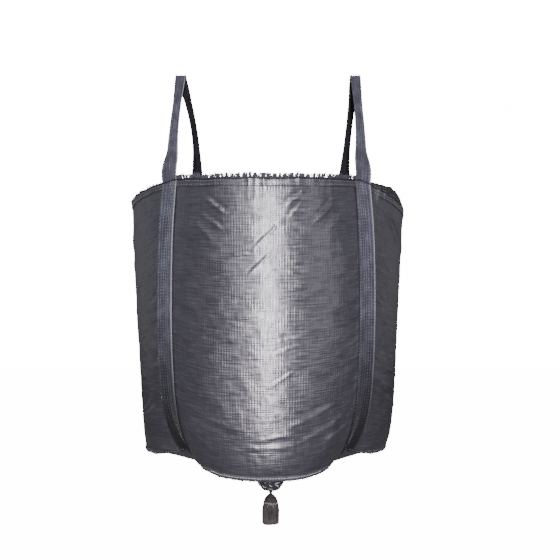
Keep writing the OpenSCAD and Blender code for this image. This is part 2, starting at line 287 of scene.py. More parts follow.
def mesh_object(name, verts, faces, uvs=None, material=None, flat=False):
    """An object from points, faces and, if given, one UV for each point."""
    mesh = bpy.data.meshes.new(name)
    mesh.from_pydata([tuple(v) for v in verts], [], [tuple(f) for f in faces])
    if uvs is not None:
        layer = mesh.uv_layers.new(name="surface")
        corner_verts = np.empty(len(mesh.loops), int)
        mesh.loops.foreach_get("vertex_index", corner_verts)
        layer.data.foreach_set("uv", np.asarray(uvs, float)[corner_verts].ravel())
    mesh.polygons.foreach_set("use_smooth", [not flat] * len(mesh.polygons))
    mesh.update()
    if material:
        mesh.materials.append(material)
    return new_object(name, mesh)


def grid_faces(rows, columns, ring=False, start=0):
    """Quads between rows of points, counted from start. A ring also joins its last column to its first."""
    last = columns if ring else columns - 1
    i, j = np.meshgrid(np.arange(rows - 1), np.arange(last), indexing="ij")
    k = (j + 1) % columns
    quads = np.stack([i * columns + j, i * columns + k, (i + 1) * columns + k, (i + 1) * columns + j], -1)
    return quads.reshape(-1, 4) + start


def grid_object(name, points, uvs=None, ring=False, thick=0.0, material=None):
    """A sheet from a grid of points (rows, columns, 3). Thickness is real, added on both faces."""
    rows, columns = points.shape[:2]
    faces = grid_faces(rows, columns, ring)
    flat_uvs = None if uvs is None else uvs.reshape(-1, 2)
    made = mesh_object(name, points.reshape(-1, 3), faces, flat_uvs, material)
    if thick:
        shell = made.modifiers.new("thickness", "SOLIDIFY")
        shell.thickness = thick
        shell.offset = 0
    return made


# Directions that no cord and no thread runs along, to lay each tube's first side out from
CORD_HINT = (0.123, 0.051, 0.991)
THREAD_HINT = (0.37, 0.21, 0.905)
CORD_SIDES, THREAD_SIDES = 8, 5


def reach_along(points):
    """How far along a line of points each one is."""
    return np.concatenate([[0], np.cumsum(np.linalg.norm(np.diff(points, axis=0), axis=1))])


def softened(values, times):
    """Numbers or points, each drawn towards its neighbours some times over. The ends stay."""
    for _ in range(times):
        values[1:-1] = (values[:-2] + 2 * values[1:-1] + values[2:]) / 4
    return values


def pairs(x, y):
    """Grids of numbers put together as a grid of UVs."""
    return np.stack(np.broadcast_arrays(x, y), -1)


def unit(vectors):
    return vectors / (np.linalg.norm(vectors, axis=-1)[..., None] + 1e-12)


def tube_points(path, radius, sides, hint, closed=False):
    """Rings of points round a path."""
    path = np.asarray(path, float)
    ahead = unit(np.roll(path, -1, 0) - np.roll(path, 1, 0) if closed else np.gradient(path, axis=0))
    side = unit(np.cross(ahead, hint))
    up = np.cross(ahead, side)
    f = np.arange(sides) * 2 * math.pi / sides
    rim = np.cos(f)[None, :, None] * side[:, None] + np.sin(f)[None, :, None] * up[:, None]
    return (path[:, None] + np.broadcast_to(radius, (len(path),))[:, None, None] * rim).reshape(-1, 3)


def end_caps(start, rows, sides):
    """The two end faces of a tube whose first point is start."""
    last = start + (rows - 1) * sides
    return [[start + j for j in range(sides)][::-1], [last + j for j in range(sides)]]


def tube(name, path, radius, closed, material):
    """A round tube along points, closed on itself or with end caps."""
    n, sides = len(path), CORD_SIDES
    faces = [list(q) for q in grid_faces(n, sides, ring=True)]
    if closed:
        last = (n - 1) * sides
        faces += [[last + j, last + (j + 1) % sides, (j + 1) % sides, j] for j in range(sides)]
    else:
        faces += end_caps(0, n, sides)
    return mesh_object(name, tube_points(path, radius, sides, CORD_HINT, closed), faces, None, material)


def joined(name, parts):
    """One object from several, with the first one's material."""
    for o in bpy.context.selected_objects:
        o.select_set(False)
    for o in parts:
        o.select_set(True)
    bpy.context.view_layer.objects.active = parts[0]
    bpy.ops.object.join()
    parts[0].name = name
    return parts[0]


def threads(name, paths, radius, material):
    """Many short tubes in one mesh."""
    verts, faces, count = [], [], 0
    for path in paths:
        verts.append(tube_points(path, radius, THREAD_SIDES, THREAD_HINT))
        faces += [list(q) for q in grid_faces(len(path), THREAD_SIDES, True, count)]
        faces += end_caps(count, len(path), THREAD_SIDES)
        count += len(path) * THREAD_SIDES
    return mesh_object(name, np.concatenate(verts), faces, None, material)


def ribbons(name, paths, across, half_width, half_thick, material):
    """Many short flat tapes in one mesh. across is the direction of each tape's width."""
    verts, faces, count = [], [], 0
    for path, wide, half in zip(paths, across, half_width):
        ahead = unit(np.gradient(path, axis=0))
        wide = unit(wide - (ahead * wide).sum(1)[:, None] * ahead)
        out = np.cross(ahead, wide)
        rim = np.stack([wide * half - out * half_thick, wide * half + out * half_thick,
                        -wide * half + out * half_thick, -wide * half - out * half_thick], 1)
        verts.append((path[:, None] + rim).reshape(-1, 3))
        faces += [list(q) for q in grid_faces(len(path), 4, True, count)]
        faces += end_caps(count, len(path), 4)
        count += len(path) * 4
    return mesh_object(name, np.concatenate(verts), faces, None, material)


# ---- Materials ----


class Nodes:
    """Short forms for building a node material."""

    def __init__(self, name):
        self.material = bpy.data.materials.new(name)
        self.material.use_nodes = True
        self.tree = self.material.node_tree
        self.tree.nodes.clear()
        self.out = self.tree.nodes.new("ShaderNodeOutputMaterial")
        self.shader = self.tree.nodes.new("ShaderNodeBsdfPrincipled")
        self.link(self.shader.outputs[0], self.out.inputs[0])

    def link(self, source, target):
        self.tree.links.new(source, target)

    def node(self, kind, inputs, **values):
        """A new node. Its inputs are links or constants, each under the name or number of its socket."""
        made = self.tree.nodes.new("ShaderNode" + kind)
        for key, value in values.items():
            setattr(made, key, value)
        for key, value in inputs.items():
            if isinstance(value, (int, float, tuple)):
                made.inputs[key].default_value = value
            else:
                self.link(value, made.inputs[key])
        return made

    def coords(self, kind="UV", scale=(1, 1, 1)):
        place = self.node("TexCoord", {}).outputs[kind]
        return self.node("Mapping", {"Vector": place, "Scale": scale}).outputs[0]

    def noise(self, vector, scale, detail=4.0, rough=0.55):
        inputs = {"Vector": vector, "Scale": scale, "Detail": detail, "Roughness": rough}
        return self.node("TexNoise", inputs).outputs[0]

    def wave(self, vector, pitch, axis="X", distortion=0.0):
        """Bands one pitch apart. At scale 1 the node's bands are pi / 10 apart."""
        inputs = {"Vector": vector, "Scale": math.pi / 10 / pitch, "Distortion": distortion}
        return self.node("TexWave", inputs, wave_type="BANDS", bands_direction=axis).outputs["Fac"]

    def math(self, operation, first, second):
        return self.node("Math", {0: first, 1: second}, operation=operation).outputs[0]

    def add(self, first, second):
        return self.math("ADD", first, second)

    def times(self, first, second):
        return self.math("MULTIPLY", first, second)

    def spread(self, value, low, high, to_low, to_high):
        inputs = {"Value": value, "From Min": low, "From Max": high, "To Min": to_low, "To Max": to_high}
        return self.node("MapRange", inputs).outputs[0]

    def colours(self, value, stops):
        ramp = self.node("ValToRGB", {0: value})
        points = ramp.color_ramp.elements
        while len(points) < len(stops):
            points.new(0.5)
        for point, (place, colour) in zip(points, stops):
            point.position = place
            point.color = (*colour, 1)
        return ramp.outputs[0]

    def mix(self, kind, factor, first, second):
        """Two colours mixed; the colour sockets are the node's seventh and eighth."""
        inputs = {0: factor, 6: first, 7: second}
        return self.node("Mix", inputs, data_type="RGBA", blend_type=kind).outputs[2]

    def bump(self, height, distance, strength=1.0, under=None):
        inputs = {"Strength": strength, "Distance": distance, "Height": height}
        if under is not None:
            inputs["Normal"] = under
        return self.node("Bump", inputs).outputs[0]

    def finish(self, colour=None, rough=None, normal=None):
        if colour is not None:
            self.link(colour, self.shader.inputs["Base Color"])
        if rough is not None:
            self.link(rough, self.shader.inputs["Roughness"])
        if normal is not None:
            self.link(normal, self.shader.inputs["Normal"])
        return self.material


def coated_fabric():
    """Coated woven polypropylene: flat tapes in a grid under a half-gloss film, crinkled all over."""
    m = Nodes("coated_fabric")
    uv = m.coords()
    drift = m.noise(uv, 14, 2)
    level_lines = m.noise(m.coords(scale=(12, 170, 1)), 1, 1, 0.6)
    upright_lines = m.noise(m.coords(scale=(180, 14, 1)), 1, 1, 0.6)
    tapes = m.add(m.wave(uv, 0.0105, "X", 0.8), m.wave(uv, 0.0088, "Y", 0.8))
    broken = m.times(tapes, m.spread(drift, 0.40, 0.60, 0.0, 1.0))
    lines = m.add(level_lines, m.times(upright_lines, 0.42))
    patches = m.noise(uv, 9, 4)
    crinkle = m.noise(m.coords(scale=(1, 1.3, 1)), 42, 4, 0.6)
    normal = m.bump(crinkle, 0.0028, 0.20)
    normal = m.bump(lines, 0.0034, 0.20, normal)
    normal = m.bump(broken, 0.0009, 0.35, normal)
    colour = m.colours(
        m.add(m.times(patches, 0.7), m.times(level_lines, 0.25)),
        [(0.25, (0.026, 0.025, 0.032)), (0.55, (0.037, 0.036, 0.045)), (0.85, (0.050, 0.049, 0.059))],
    )
    rough = m.spread(m.add(level_lines, m.times(patches, 0.4)), 0.52, 0.88, 0.29, 0.43)
    m.shader.inputs["IOR"].default_value = 1.65
    # Single tapes stand proud and catch more of the light
    grid = m.add(m.times(level_lines, 0.6), m.times(upright_lines, 0.4))
    gleam = m.spread(m.add(grid, m.times(broken, 0.06)), 0.40, 0.64, 0.62, 1.38)
    m.link(gleam, m.shader.inputs["Specular IOR Level"])
    return m.finish(colour, rough, normal)


def plain_weave(name, dark, light, pitch, rough=0.75):
    """Uncoated woven fabric with visible tapes and a soft, dusty surface."""
    m = Nodes(name)
    place = m.coords("Object")
    cloud = m.noise(place, 18, 5)
    tapes = m.add(m.wave(place, pitch, "Z", 1.0), m.wave(place, pitch, "DIAGONAL", 1.0))
    normal = m.bump(m.noise(place, 60, 4), 0.004, 0.5)
    normal = m.bump(tapes, 0.0006, 0.5, normal)
    colour = m.colours(cloud, [(0.3, dark), (0.7, light)])
    m.shader.inputs["Roughness"].default_value = rough
    return m.finish(colour, None, normal)


# Place across the webbing of the pale line painted along one edge as a highlight
EDGE_HIGHLIGHT_X = 0.0448


def webbing_fabric():
    """Ribbed webbing: cords along it in broken pale lines, fine ribs across, a pale line painted along one
    edge as a highlight, and painted shade darker down the bag.
    """
    m = Nodes("webbing")
    uv = m.coords()
    cords = m.wave(uv, 0.016, "X", 0.6)
    ribs = m.wave(uv, 0.012, "Y", 0.8)
    strong = m.spread(m.noise(uv, 16, 2), 0.40, 0.62, 0.35, 1.0)
    dashes = m.times(m.math("MAXIMUM", cords, m.times(ribs, 0.8)), strong)
    cloud = m.noise(m.coords(scale=(1, 0.3, 1)), 30, 4)
    streaks = m.noise(m.coords(scale=(240, 3, 1)), 1, 2)
    normal = m.bump(m.add(dashes, m.times(streaks, 0.8)), 0.0014, 0.9)
    tone = m.add(m.times(dashes, 0.32), m.times(cloud, 0.35))
    tone = m.add(tone, m.times(streaks, 0.30))
    worn = m.colours(
        tone, [(0.30, (0.024, 0.025, 0.034)), (0.50, (0.064, 0.066, 0.090)), (0.80, (0.170, 0.172, 0.225))]
    )
    place = m.node("SeparateXYZ", {0: uv})
    # Painted shade: the webbing's colour darkens towards its ends low on the bag, squared below
    shade = m.spread(place.outputs["Y"], 0.05, 0.60, 0.20, 1.0)
    # A pale line painted along one selvedge is a painted highlight, where light catches the webbing's edge
    off = m.math("ABSOLUTE", m.math("SUBTRACT", place.outputs["X"], EDGE_HIGHLIGHT_X), 0)
    edge_highlighted = m.mix("MIX", m.spread(off, 0.0020, 0.0034, 0.90, 0.0), worn, (0.36, 0.36, 0.41, 1))
    shaded = m.mix("MULTIPLY", 1.0, edge_highlighted, m.times(shade, shade))
    m.shader.inputs["Roughness"].default_value = 0.55
    m.shader.inputs["Sheen Weight"].default_value = 0.10
    return m.finish(shaded, None, normal)


def thread(name, colour, spread=0.35, rough=0.8, painted_shade_low=False):
    """Spun thread: twisted, matte, a little uneven in colour. It may be darkened to near black down the
    bag, as painted shade.
    """
    m = Nodes(name)
    place = m.coords("Object")
    cloud = m.noise(place, 160, 3)
    dark = tuple(c * (1 - spread) for c in colour)
    light = tuple(min(1, c * (1 + spread)) for c in colour)
    m.shader.inputs["Roughness"].default_value = rough
    spun = m.colours(cloud, [(0.3, dark), (0.7, light)])
    if painted_shade_low:
        # Painted shade: the thread darkens towards the bottom of the bag
        height = m.node("SeparateXYZ", {0: place}).outputs["Z"]
        spun = m.mix("MULTIPLY", 1.0, spun, m.spread(height, 0.15, 0.85, 0.08, 1.0))
    return m.finish(spun, None, m.bump(m.wave(place, 0.0012, "DIAGONAL"), 0.0004, 0.7))


COATED = coated_fabric()
SKIRT = plain_weave("skirt_fabric", (0.012, 0.012, 0.013), (0.035, 0.034, 0.035), 0.004)
SPOUT = plain_weave("spout_fabric", (0.030, 0.026, 0.024), (0.100, 0.088, 0.080), 0.004)
FLANGE = plain_weave("flange_fabric", (0.030, 0.029, 0.035), (0.085, 0.082, 0.096), 0.004, 0.7)
SLEEVE = plain_weave("sleeve_fabric", (0.022, 0.022, 0.026), (0.065, 0.066, 0.076), 0.004, 0.55)
WEBBING = webbing_fabric()
# Near-black copy of the webbing for its inner side above the rim: painted shade
WEBBING_PAINTED_SHADE = plain_weave("webbing_painted_shade", (0.006, 0.006, 0.008), (0.018, 0.018, 0.022), 0.003, 0.8)
DARK_THREAD = thread("dark_thread", (0.010, 0.010, 0.012))
GREY = (0.150, 0.153, 0.185)
GREY_THREAD = thread("grey_thread", GREY)
# The strap stitches carry the same painted shade low down as the webbing
STRAP_THREAD = thread("strap_thread", GREY, painted_shade_low=True)
FRINGE = thread("fringe", (0.050, 0.050, 0.066), 0.55)
SEAM_THREAD = thread("seam_thread", (0.17, 0.17, 0.19), 0.35, 0.3)
PALE_THREAD = thread("pale_thread", (0.62, 0.61, 0.63))
TIE_CORD = thread("tie_cord", (0.30, 0.29, 0.27))


# ---- Camera, light and floor ----

EYE = (0.054, -2.868, 0.565)
SENSOR_MM, LENS_MM, SHIFT_UP = 36, 40.7, 0.11
MIDDLE = (0, 0, 0.6)
UPPER = (0, 0, 0.7)
# Name, place, what it is turned to, width and height, watts, colour
LIGHTS = [
    ("key", (-0.4, -3.2, 3.6), MIDDLE, (1.0, 1.0), 40, (1, 1, 1)),
    ("strip", (0.15, -4.2, 1.05), (0, 0, 0.75), (0.10, 2.9), 210, (0.96, 0.91, 1)),
    ("low_strip", (0.15, -4.1, 0.05), (0, 0, 0.35), (0.08, 0.9), 38, (1, 0.92, 0.97)),
    ("left_soft", (-1.6, -3.9, 1.2), UPPER, (1.2, 2.4), 16, (0.94, 0.93, 1)),
    ("right_soft", (3.3, -2.8, 1.3), UPPER, (1.6, 2.4), 14, (0.96, 0.94, 1)),
    ("left_fill", (-3.6, 1.4, 1.4), MIDDLE, (3.0, 3.0), 5, (0.92, 0.93, 1)),
    ("right_fill", (3.6, 1.4, 1.4), MIDDLE, (3.0, 3.0), 4, (0.95, 0.94, 1)),
    ("back_fill", (-0.3, 4.4, 1.9), MIDDLE, (1.4, 2.4), 230, (1, 1, 1)),
]
# Strength of the white world and of the floor as the camera sees them, and of the world as light
WORLD_SEEN, FLOOR_SEEN, WORLD_DIM = 16, 15, 0.16
FLOOR_DROP = 0.30
FLOOR_R = 26
FLOOR_SIDES = 96


def camera():
    """Level, in front of the lower half of the bag. The shift lifts the view up to the loops."""
    data = bpy.data.cameras.new("camera")
    data.sensor_width = SENSOR_MM
    data.lens = LENS_MM
    data.shift_y = SHIFT_UP
    made = new_object("camera", data)
    made.location = EYE
    made.rotation_euler = (math.pi / 2, 0, 0)
    bpy.context.scene.camera = made


def area_light(name, place, target, size, power, colour):
    data = bpy.data.lights.new(name, "AREA")
    data.shape = "RECTANGLE"
    data.size, data.size_y = size
    data.energy = power
    data.color = colour
    made = new_object(name, data)
    made.location = place
    made.rotation_mode = "QUATERNION"
    made.rotation_quaternion = (Vector(target) - Vector(place)).to_track_quat("-Z", "Y")


def background(tree, colour, strength):
    made = tree.nodes.new("ShaderNodeBackground")
    made.inputs["Color"].default_value = (*colour, 1)
    made.inputs["Strength"].default_value = strength
    return made


def stage():
    """A white world that lights the bag only dimly, the lights, and a floor that looks white."""
    world = bpy.data.worlds.new("studio")
    world.use_nodes = True
    tree = world.node_tree
    tree.nodes.clear()
    out = tree.nodes.new("ShaderNodeOutputWorld")
    mix = tree.nodes.new("ShaderNodeMixShader")
    seen = background(tree, (1, 1, 1), WORLD_SEEN)
    dim = background(tree, (0.93, 0.96, 1), WORLD_DIM)
    path = tree.nodes.new("ShaderNodeLightPath")
    tree.links.new(path.outputs["Is Camera Ray"], mix.inputs[0])
    tree.links.new(dim.outputs[0], mix.inputs[1])
    tree.links.new(seen.outputs[0], mix.inputs[2])
    tree.links.new(mix.outputs[0], out.inputs[0])
    bpy.context.scene.world = world
    for light in LIGHTS:
        area_light(*light)
    floor_z = CAD_BOX[0][2] - FLOOR_DROP
    turn = np.arange(FLOOR_SIDES) * 2 * math.pi / FLOOR_SIDES
    verts = [(FLOOR_R * math.cos(f), FLOOR_R * math.sin(f), floor_z) for f in turn]
    m = Nodes("floor")
    m.shader.inputs["Base Color"].default_value = (0.12, 0.12, 0.12, 1)
    m.shader.inputs["Roughness"].default_value = 0.8
    m.shader.inputs["Emission Color"].default_value = (1, 1, 1, 1)
    glow = m.times(m.node("LightPath", {}).outputs["Is Camera Ray"], FLOOR_SEEN)
    m.link(glow, m.shader.inputs["Emission Strength"])
    floor = mesh_object("floor", verts, [range(FLOOR_SIDES)], None, m.finish(), flat=True)


# ---- Body fabric ----

ACROSS = 171
UP = 191


def side_panel(side):
    """One bulging side panel, from the base seam to the rim."""
    name = SIDES[side] + "_panel"
    a = np.linspace(-0.9985, 0.9985, ACROSS)[None, :]
    t = np.linspace(0, 1, UP)[:, None]
    points = skin(side, a, t)
    uvs = pairs(a * PANEL_W / 2 + 1.3 * side, t * WALL_H)
    made = grid_object(name + "_fabric", points, uvs, thick=FABRIC_T, material=COATED)
    belongs(made, name)


OUTLET_R = 0.175
# Share of the way from the outlet to the seam that the patch reaches
PATCH_REACH = 0.17
BASE_CURL = 1.1
# Radial creases round the outlet and along the seam
BASE_CREASES = 64


def edge_places(columns=120):
    """Places across one side, without the last, which is the next side's first."""
    return np.linspace(-1, 1, columns + 1)[:-1]


def base_edge(out=-0.0010, lift=0.0025):
    """The base's outer edge, just inside the side panels' low edges."""
    a = edge_places()
    return np.concatenate([skin(side, a, np.zeros_like(a), out, lift) for side in range(4)])


def base_points(shares, drop=0.0):
    """Rings of the base from the outlet (0) to the seam (1), gathered a little round the outlet."""
    edge = base_edge()
    reach = np.hypot(edge[:, 0], edge[:, 1])
    around = np.arctan2(edge[:, 1], edge[:, 0]) / (2 * math.pi) * BASE_CREASES
    tuck = CORNER_TUCK * np.abs(np.tile(edge_places(), 4)) ** 3
    rings = []
    for q in shares:
        scale = OUTLET_R / reach * (1 - q) + q
        gather = 0.0035 * math.exp(-q / 0.16) * crease(around, q * 4, 61)
        sag = 0.004 * noise(edge[:, 0] * q * 7, edge[:, 1] * q * 7, 62) * math.sin(math.pi * q)
        pucker = 0.004 * math.exp(-(1 - q) / 0.10) * crease(around, q * 5, 63)
        z = edge[:, 2] * q**BASE_CURL + tuck * 4 * q * (1 - q) + gather + sag + pucker * (q < 0.995) - drop
        rings.append(np.stack([edge[:, 0] * scale, edge[:, 1] * scale, z], -1))
    return np.array(rings)


def base():
    """The base with its round outlet, and the patch sewn round the outlet."""
    points = base_points(np.linspace(0, 1, 61))
    made = grid_object("base_panel_fabric", points, points[..., :2] + 7, True, FABRIC_T, COATED)
    belongs(made, "base_panel")
    patch = base_points(np.linspace(0, PATCH_REACH, 12), 0.0022)
    made = grid_object("outlet_patch_fabric", patch, patch[..., :2] + 9, True, 0.0012, COATED)
    belongs(made, "outlet_patch")
    rows = base_points([0.03, 0.145], 0.0034)
    stitch_rows("outlet_stitches", [np.concatenate([row, row[:1]]) for row in rows], GREY_THREAD)


# ---- Stitches and frayed ends ----

# A stitch's length, the gap to the next one, and the thread's radius
FINE_STITCH = (0.006, 0.003, 0.0007)
HEM_STITCH = (0.0075, 0.0055, 0.0013)
SEAM_STITCH = (0.0095, 0.0018, 0.0013)
STRAP_STITCH = (0.0075, 0.0045, 0.0012)
# How many cut tapes stand on a hem and how long they are: on front and rear, and on the sides
LONG_FRAY, SHORT_FRAY = (1150, 0.0165), (420, 0.008)
TAPE_T = 0.00018


def stitch_rows(name, lines, material, kind=FINE_STITCH):
    """Short raised stitches along each line of points."""
    stitch, skip, radius = kind
    paths = []
    for line in lines:
        reach = reach_along(line)
        at = np.arange(0, reach[-1] - stitch, stitch + skip)[:, None] + np.array([0, 0.5, 1]) * stitch
        paths += list(np.stack([np.interp(at, reach, line[:, i]) for i in range(3)], -1))
    made = threads(name, paths, np.array([0.6, 1.0, 0.6]) * radius, material)
    belongs(made)


def frayed(name, roots, outs, up, length, material, seed):
    """Cut tape ends standing from an edge: roots and outs are points and directions along it."""
    rng = np.random.default_rng(seed)
    paths, across, halves = [], [], []
    for root, out in zip(roots, outs):
        along = np.array([-out[1], out[0], 0])
        long = length * rng.uniform(0.55, 1.05) * (1.35 if rng.random() < 0.04 else 1)
        tip = root + np.array([0, 0, up * long]) + out * long * rng.uniform(-0.25, 0.45)
        tip = tip + along * rng.normal(0, 0.20) * long
        bend = rng.normal(0, 0.12, 3) * long
        share = np.array([0, 0.35, 0.7, 1])[:, None]
        paths.append(root * (1 - share) + tip * share + bend * (share * (1 - share)))
        across.append(along + out * rng.normal(0, 0.5))
        halves.append(rng.uniform(0.0007, 0.0020))
    made = ribbons(name, paths, across, halves, TAPE_T, material)
    belongs(made)


def hem_shape(s, side):
    """The rim hem's ripple out from the wall and its rise, along the rim."""
    return 0.0014 * crease(s * 21, s * 3, 71 + side), 0.0030 * noise(s * 17, s * 4, 75 + side)


def rim_hem(side):
    """The hem doubled over the rim, with two rows of stitches and a frayed edge above it."""
    name = SIDES[side] + "_rim_hem"
    a = np.linspace(-0.94, 0.94, 301)
    s = a * PANEL_W / 2
    drops = np.array([-0.030, -0.029, -0.022, -0.018, -0.013, -0.008, -0.001, 0.002, 0.004])
    outs = np.array([0.0012, 0.0022, 0.0024, 0.0022, 0.0025, 0.0025, 0.0027, 0.0020, 0.0008])
    ripple, rise = hem_shape(s, side)
    sway = np.interp(drops, [-0.030, 0.004], [0.25, 1.0])[:, None]
    t = 1 + np.minimum(drops, 0)[:, None] / WALL_H
    lift = np.maximum(drops, 0)[:, None] + rise * sway
    points = skin(side, a[None, :], t, outs[:, None] + ripple * sway, lift)
    uvs = pairs(s[None, :] + 1.3 * side, drops[:, None] + 20)
    made = grid_object(name + "_fabric", points, uvs, thick=0.0012, material=COATED)
    belongs(made, name)
    for row, index in enumerate((2, 5)):
        line = skin(side, a, t[index], outs[index] + 0.0014 + ripple * sway[index], lift[index])
        stitch_rows(f"{name}_stitches_{row}", [line], SEAM_THREAD, HEM_STITCH)
    count, long = LONG_FRAY if side % 2 == 0 else SHORT_FRAY
    place = np.random.default_rng(80 + side).uniform(-0.90, 0.90, count)
    # The tapes stand in tufts
    place = place + 0.0085 * np.sin(2 * math.pi * place * PANEL_W / 2 / 0.021)
    place.sort()
    lift_here = 0.002 + np.interp(place, a, rise)
    roots = skin(side, place, np.ones_like(place), 0.0015 + np.interp(place, a, ripple), lift_here)
    frayed(name + "_fray", roots, outward(roots), 1, long, FRINGE, 84 + side)


def rim_binding():
    """A dark cord sewn round the rim, over the hem and across the straps."""
    a = edge_places(240)
    s = a * PANEL_W / 2
    on_strap = smooth((np.abs(a) - STRAP_EDGE + 0.03) / 0.05)
    rows = []
    for side in range(4):
        ripple, rise = hem_shape(s, side)
        out = 0.0042 + 0.0034 * on_strap + ripple * (1 - on_strap)
        rows.append(skin(side, a, np.ones_like(a), out, rise - 0.0015))
    path = np.concatenate(rows)
    for _ in range(3):
        path = (np.roll(path, 1, 0) + 2 * path + np.roll(path, -1, 0)) / 4
    belongs(tube("rim_binding_cord", path, 0.0021, True, DARK_THREAD))


def base_seam(side):
    """The raw flange below the base seam, with a pale line of stitches and frayed ends."""
    name = SIDES[side] + "_base_seam"
    a = np.linspace(-0.93, 0.93, 301)
    s = a * PANEL_W / 2
    drops = np.array([0.004, 0.0, -0.004, -0.008, -0.012, -0.016])
    outs = np.array([0.0018, 0.0022, 0.0014, 0.0000, -0.0020, -0.0046])
    ripple = 0.0015 * crease(s * 15, s * 2, 91 + side) + 0.002 * noise(s * 6, s, 95 + side)
    droop = 0.0015 * noise(s * 19, s * 5, 99 + side)
    # The flange is turned under towards the corners
    drops = drops[:, None] * (1 - 0.72 * smooth((np.abs(a) - 0.50) / 0.40))[None, :]
    sway = np.linspace(0, 1, len(drops))[:, None]
    points = skin(side, a[None, :], np.zeros((1, 1)), outs[:, None] + ripple * sway, drops + droop * sway)
    made = grid_object(name + "_fabric", points, thick=0.0018, material=FLANGE)
    belongs(made, name)
    sewn = points[2][np.abs(a) < 0.58]
    pale = PALE_THREAD if side % 2 == 0 else GREY_THREAD
    stitch_rows(name + "_stitches", [sewn + outward(sewn) * 0.0014], pale, SEAM_STITCH)
    place = np.sort(np.random.default_rng(110 + side).uniform(0, len(a) - 1, 130))
    roots = np.stack([np.interp(place, np.arange(len(a)), points[-1][:, i]) for i in range(3)], -1)
    frayed(name + "_fray", roots, outward(roots), -1, 0.004, DARK_THREAD, 120 + side)


def outward(points):
    """Level directions away from the bag's axis."""
    flat = points * [1, 1, 0]
    return flat / np.linalg.norm(flat, axis=-1)[..., None]


def corner_seam(side):
    """Seam allowance turned in along one corner, inside the bag."""
    name = ["front_right", "rear_right", "rear_left", "front_left"][side] + "_corner_seam"
    t = np.linspace(0.004, 0.94, 90)
    root = wall(0, np.ones_like(t), t, -0.0022)
    depth = np.array([0, 0.006, 0.012, 0.018])[:, None, None]
    wave = 0.002 * noise(t * 30, t * 3, 130 + side)
    inward = np.array([-1, 1, 0]) / math.sqrt(2)
    across = np.array([1, 1, 0]) / math.sqrt(2)
    points = root[None] + depth * inward + (depth / 0.018) * wave[None, :, None] * across
    uvs = pairs(depth[..., 0] + 50, t[None, :] * WALL_H)
    made = grid_object(name + "_fabric", turned(points, side), uvs, thick=0.0016, material=COATED)
    belongs(made, name)


# ---- Top skirt: folded over the rim in a soft roll and let down inside ----

# Distance in from the wall, then height above the rim, as in the CAD
SKIRT_PATH = np.array([
    (4, -25), (4, -6), (6, 21.5), (12, 43), (21, 50), (31, 39.5), (37, 7), (42, -40), (52, -120),
    (64, -214.5), (76, -330)
]) / 1000
# Corners of that path where the soft roll starts and where the hanging part starts
ROLL_START, HANG_START = 2, 6
# Share of the roll's height on the right and on the other sides, and at the ends of each side
ROLL_RIGHT, ROLL_LOW, ROLL_END = 1.35, 0.22, 0.15


def top_skirt():
    """One ring of soft fabric, with ruffles over the rim and pleats where it hangs inside."""
    steps = reach_along(SKIRT_PATH)
    hang = steps[HANG_START]
    fine = np.concatenate([np.linspace(0, hang, 26), np.linspace(hang, steps[-1], 34)[1:]])
    inset = np.interp(fine, steps, SKIRT_PATH[:, 0])
    height = np.interp(fine, steps, SKIRT_PATH[:, 1])
    kernel = np.array([1, 2, 3, 2, 1]) / 9
    for _ in range(2):
        inset[2:-2] = np.convolve(inset, kernel, "valid")
        height[2:-2] = np.convolve(height, kernel, "valid")
    a = edge_places()
    s = a * PANEL_W / 2
    loose = smooth((fine - steps[ROLL_START]) / 0.10)[:, None]
    down = smooth((fine - hang) / 0.25)[:, None]
    rows = []
    for side in range(4):
        place = s[None, :] + 0.9 * side
        share = (ROLL_END + (1 - ROLL_END) * (1 - a * a)[None, :]) * (ROLL_RIGHT if side == 1 else ROLL_LOW)
        ruffle = 0.22 * noise(place * 9, fine[:, None] * 10, 140)
        ruffle = np.clip(1 + (ruffle + 0.09 * crease(place * 26, fine[:, None] * 12, 141)), 0.55, 1.22)
        lift = np.where(height[:, None] > 0, height[:, None] * share * ruffle, height[:, None])
        pleat = 0.0022 * loose * crease(place * 24, fine[:, None] * 7, 142) * (1 - a**8)[None, :]
        drape = 0.010 * down * noise(place * 10, fine[:, None] * 3, 143) * (1 - a**8)[None, :]
        rows.append(wall(side, a[None, :], 1.0, -inset[:, None] + pleat + drape, lift))
    points = np.concatenate(rows, axis=1)
    made = grid_object("top_skirt_fabric", points, ring=True, thick=0.0010, material=SKIRT)
    belongs(made, "top_skirt")


# ---- Webbing: one length a side, up the front corner, over the hook and down the rear corner ----

WEB_W = 0.096
HOOK_W = 0.046
WEB_T = 0.0024
SEAT_R = 0.0172
LOOP_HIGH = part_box("right_loop")[1]
SEAT_Z = LOOP_HIGH[2] - WEB_T / 2
FOLD_Z = RIM_Z + 0.045
ROOT_XY = 0.369
SEAT_X = 0.394
WEB_OUT = 0.0040
COLUMNS = 33
# Places across the webbing, from -1 to 1, of its rows of stitches
STITCH_ROWS = (-0.82, -0.42, -0.12, 0.18, 0.50, 0.84)
# How far each leg is folded lengthways, in degrees, at shares of the way from the rim to the hook
FRONT_LEG_FOLD = ((0, 0.10, 0.24, 0.45, 0.72, 0.90, 1), (0, 14, 26, 32, 36, 20, 0))
REAR_LEG_FOLD = ((0, 0.30, 0.38, 0.52, 0.68, 0.86, 1), (0, 10, 30, 50, 53, 46, 0))
# How far a leg bows in towards the middle of the bag, and where: below 1 it bows most low down
FRONT_BOW = (-0.0125, 0.7)
LEFT_REAR_BOW, RIGHT_REAR_BOW = (0.030, 1.4), (0.003, 1.0)


